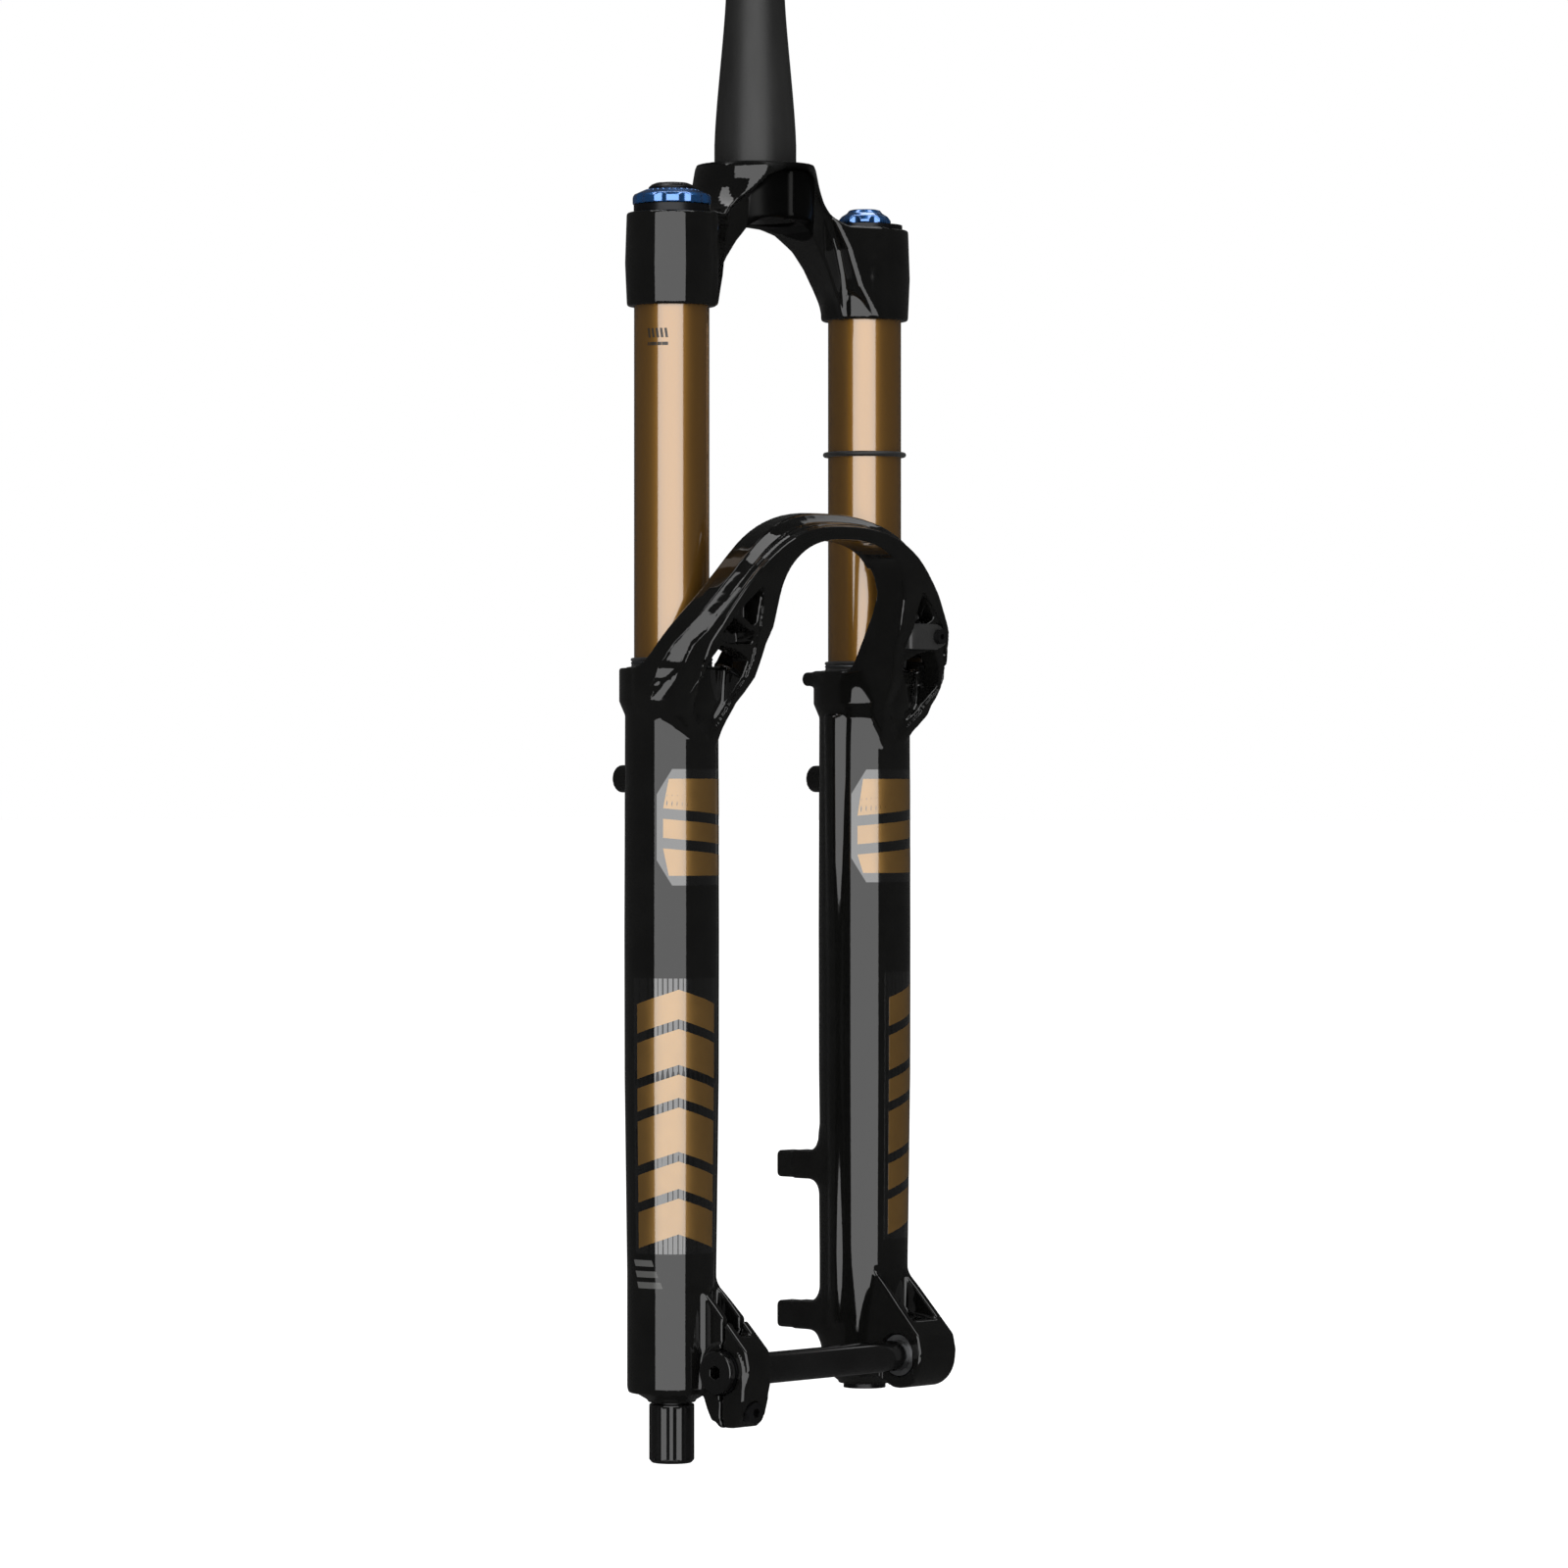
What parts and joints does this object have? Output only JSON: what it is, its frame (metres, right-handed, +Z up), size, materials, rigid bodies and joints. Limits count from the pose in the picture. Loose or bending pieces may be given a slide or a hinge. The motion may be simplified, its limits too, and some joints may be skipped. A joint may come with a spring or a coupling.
{
  "type": "suspension fork",
  "caption": "Telescopic suspension fork for a mountain bike: tapered steerer, single crown, sprung sliding lower legs, forward dropouts with a bolt-through axle and disc brake posts.",
  "frame": {"origin": "on the steerer's axis at the crown race seat, the crown's top face", "axes": "+Z up along the steerer, -Y forward, +X to the rider's left"},
  "size_m": [0.1882, 0.092, 0.8442],
  "materials": {
    "steerer_black": "satin black anodised, finely brushed",
    "gloss_black": "forged alloy in high gloss black",
    "gloss_black_lowers": "cast magnesium under high gloss black paint",
    "gold_anodised": "satin gold hard anodised",
    "black_anodised": "satin black anodised",
    "blue_anodised": "bright blue anodised",
    "red_anodised": "red anodised",
    "alloy_raw": "machined bare alloy",
    "gold_alloy": "clear gold anodised",
    "polished_shaft": "polished shaft",
    "spring_steel": "bright spring steel",
    "black_steel": "black oxide steel",
    "axle_black": "gloss black anodised",
    "clip_grey": "satin dark grey moulding",
    "cover_plastic": "semi-gloss black moulding",
    "spacer_plastic": "natural nylon",
    "seal_rubber": "black nitrile rubber",
    "bumper_rubber": "dark urethane",
    "oiled_foam": "oil-soaked open-cell foam",
    "bushing_bronze": "bronze-backed polymer liner",
    "copper_washer": "soft copper",
    "brass_core": "brass"
  },
  "bodies": {
    "crown_assembly": {"steerer_tube": "steerer_black", "crown": "gloss_black", "right_stanchion": "gold_anodised", "left_stanchion": "gold_anodised", "damper_top_cap": "black_anodised", "damper_cartridge_tube": "alloy_raw", "damper_stem": "alloy_raw", "base_valve": "gold_alloy", "ifp_spring": "spring_steel", "damper_seal_head": "black_anodised", "air_top_cap": "black_anodised", "volume_spacers": "spacer_plastic", "air_seal_head": "black_anodised", "top_out_bumper": "bumper_rubber", "seal_head_circlips": "spring_steel"},
    "lowers": {"lower_casting": "gloss_black_lowers", "dust_wipers": "seal_rubber", "garter_springs": "spring_steel", "foam_rings": "oiled_foam", "upper_bushings": "bushing_bronze", "lower_bushings": "bushing_bronze", "damper_shaft": "polished_shaft", "rebound_piston": "gold_alloy", "air_shaft": "polished_shaft", "air_piston": "black_anodised", "air_piston_seal": "seal_rubber", "bottom_out_bumpers": "bumper_rubber", "crush_washers": "copper_washer", "damper_foot_nut": "black_anodised", "air_foot_bolt": "black_anodised", "bleed_valve_bodies": "black_anodised", "hose_clip": "clip_grey", "hose_clip_screw": "black_steel", "axle_sleeve": "black_anodised", "axle_insert": "alloy_raw"},
    "high_speed_dial": {"high_speed_compression_dial": "blue_anodised"},
    "low_speed_knob": {"low_speed_compression_knob": "black_anodised"},
    "air_cap": {"air_cap": "blue_anodised"},
    "valve_core": {"air_valve_core": "brass_core"},
    "floating_piston": {"floating_piston": "gold_alloy"},
    "sag_ring": {"sag_o_ring": "seal_rubber"},
    "rebound_cover": {"rebound_cover": "cover_plastic"},
    "rebound_high": {"high_speed_rebound_knob": "red_anodised"},
    "rebound_low": {"low_speed_rebound_knob": "red_anodised", "low_speed_rebound_rod": "alloy_raw"},
    "right_bleed": {"right_bleed_button": "black_steel"},
    "left_bleed": {"left_bleed_button": "black_steel"},
    "axle": {"through_axle": "axle_black"},
    "pinch": {"pinch_bolt": "black_steel"}
  },
  "joints": [
    {"name": "lowers_travel", "type": "slide", "parent": "crown_assembly", "child": "lowers", "axis": [0, 0, 1], "range_m": [0, 0.16], "stiffness_N_per_m": 4000, "springref_m": -0.02},
    {"name": "high_speed_compression_turn", "type": "hinge", "parent": "crown_assembly", "child": "high_speed_dial", "pos_m": [-0.069, -0.0095, -0.022], "axis": [0, 0, 1], "range_deg": [0, 300]},
    {"name": "low_speed_compression_turn", "type": "hinge", "parent": "crown_assembly", "child": "low_speed_knob", "pos_m": [-0.069, -0.0095, -0.015], "axis": [0, 0, 1], "range_deg": [0, 330]},
    {"name": "air_cap_lift", "type": "slide", "parent": "crown_assembly", "child": "air_cap", "axis": [0, 0, 1], "range_m": [0, 0.03]},
    {"name": "valve_core_press", "type": "slide", "parent": "crown_assembly", "child": "valve_core", "axis": [0, 0, -1], "range_m": [0, 0.0012], "stiffness_N_per_m": 400},
    {"name": "floating_piston_travel", "type": "slide", "parent": "crown_assembly", "child": "floating_piston", "axis": [0, 0, 1], "range_m": [0, 0.0286], "deforming": ["ifp_spring"]},
    {"name": "sag_ring_push", "type": "slide", "parent": "crown_assembly", "child": "sag_ring", "axis": [0, 0, 1], "range_m": [0, 0.06]},
    {"name": "rebound_cover_pull", "type": "slide", "parent": "lowers", "child": "rebound_cover", "axis": [0, 0, -1], "range_m": [0, 0.035]},
    {"name": "high_speed_rebound_turn", "type": "hinge", "parent": "lowers", "child": "rebound_high", "pos_m": [-0.069, -0.0095, -0.608], "axis": [0, 0, 1], "range_deg": [0, 300]},
    {"name": "low_speed_rebound_turn", "type": "hinge", "parent": "lowers", "child": "rebound_low", "pos_m": [-0.069, -0.0095, -0.615], "axis": [0, 0, 1], "range_deg": [0, 330]},
    {"name": "right_bleed_press", "type": "slide", "parent": "lowers", "child": "right_bleed", "axis": [0, -1, 0], "range_m": [0, 0.0015], "stiffness_N_per_m": 500},
    {"name": "left_bleed_press", "type": "slide", "parent": "lowers", "child": "left_bleed", "axis": [0, -1, 0], "range_m": [0, 0.0015], "stiffness_N_per_m": 500},
    {"name": "axle_withdraw", "type": "slide", "parent": "lowers", "child": "axle", "axis": [-1, 0, 0], "range_m": [0, 0.16]},
    {"name": "pinch_bolt_turn", "type": "hinge", "parent": "lowers", "child": "pinch", "pos_m": [-0.063, -0.044, -0.598], "axis": [0, 1, 0], "range_deg": [0, 180]}
  ],
  "couplings": [
    {"joint": "sag_ring_push", "follows": "lowers_travel", "ratio": 0.375},
    {"joint": "floating_piston_travel", "follows": "lowers_travel", "ratio": 0.17825}
  ]
}
